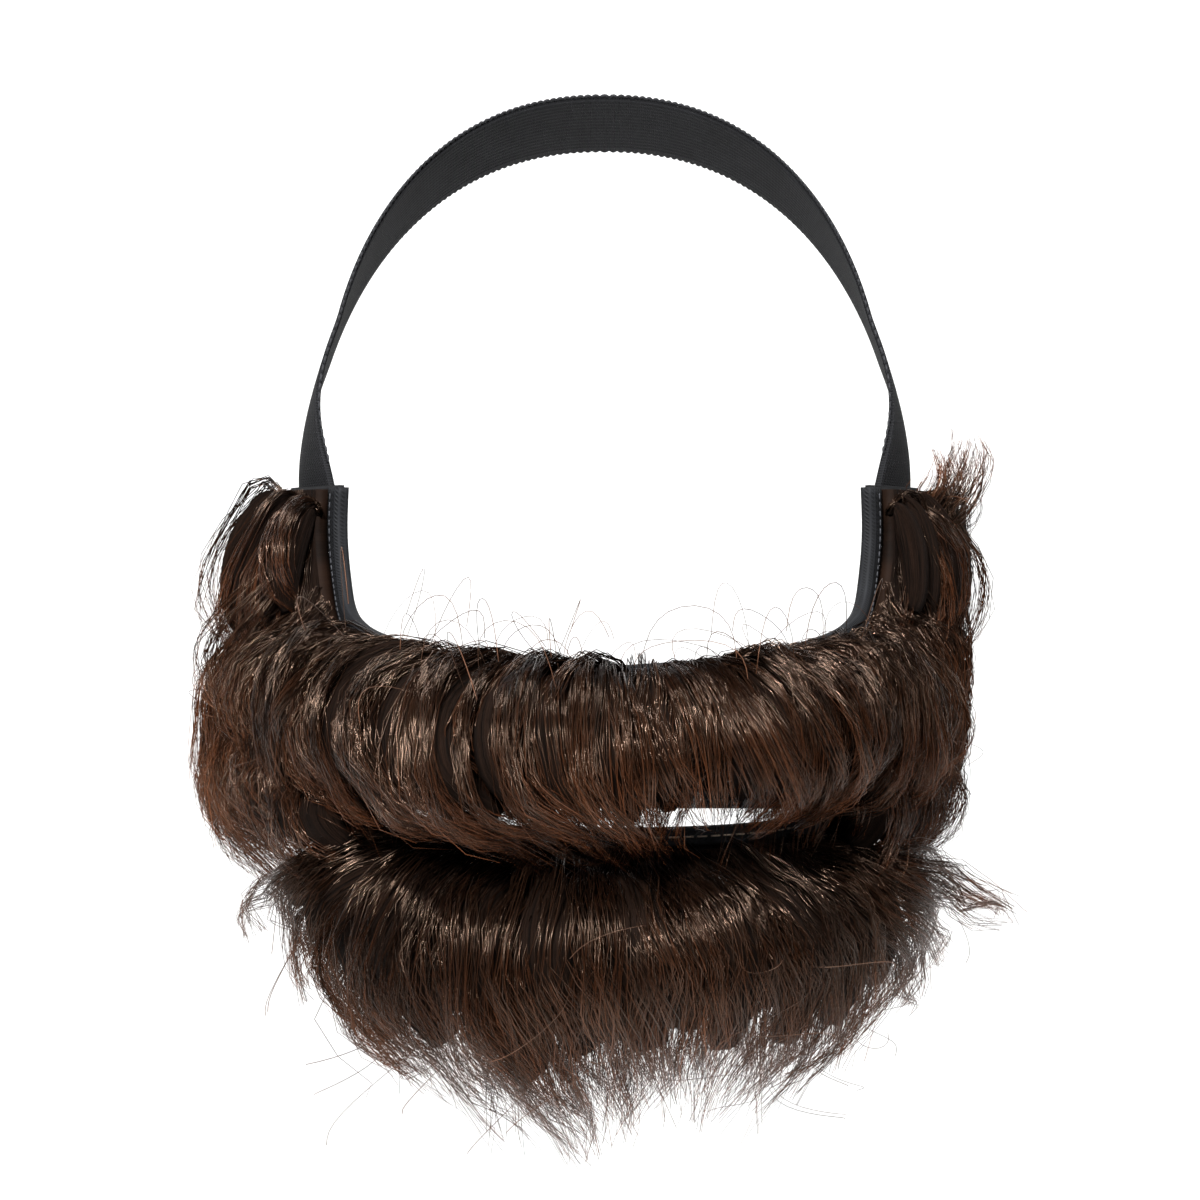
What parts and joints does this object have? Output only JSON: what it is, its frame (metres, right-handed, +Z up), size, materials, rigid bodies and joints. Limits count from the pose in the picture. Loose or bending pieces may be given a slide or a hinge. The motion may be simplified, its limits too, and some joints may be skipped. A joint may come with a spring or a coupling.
{
  "type": "false beard",
  "caption": "Costume beard with moustache: hair in locks on a curved cloth backing with a bound mouth slit, held on by an elastic strap over the head.",
  "frame": {"origin": "on the wearer's upper lip, in the middle of the top edge of the backing's inner face", "axes": "+Z up, the wearer faces -Y, +X to the right of someone who looks at the beard"},
  "size_m": [0.2146, 0.1975, 0.2769],
  "materials": {
    "backing_cloth": "matt woven black cotton",
    "binding_tape": "black twill tape",
    "elastic": "black knitted elastic with looped edges",
    "hair": "dark brown synthetic hair with a soft gloss"
  },
  "bodies": {
    "root": {"backing": "backing_cloth", "mouth_binding": "binding_tape", "edge_tape": "binding_tape", "strap": "elastic", "moustache_hair": "hair", "chin_hair": "hair", "cheek_hair_left": "hair", "cheek_hair_right": "hair"}
  },
  "joints": []
}
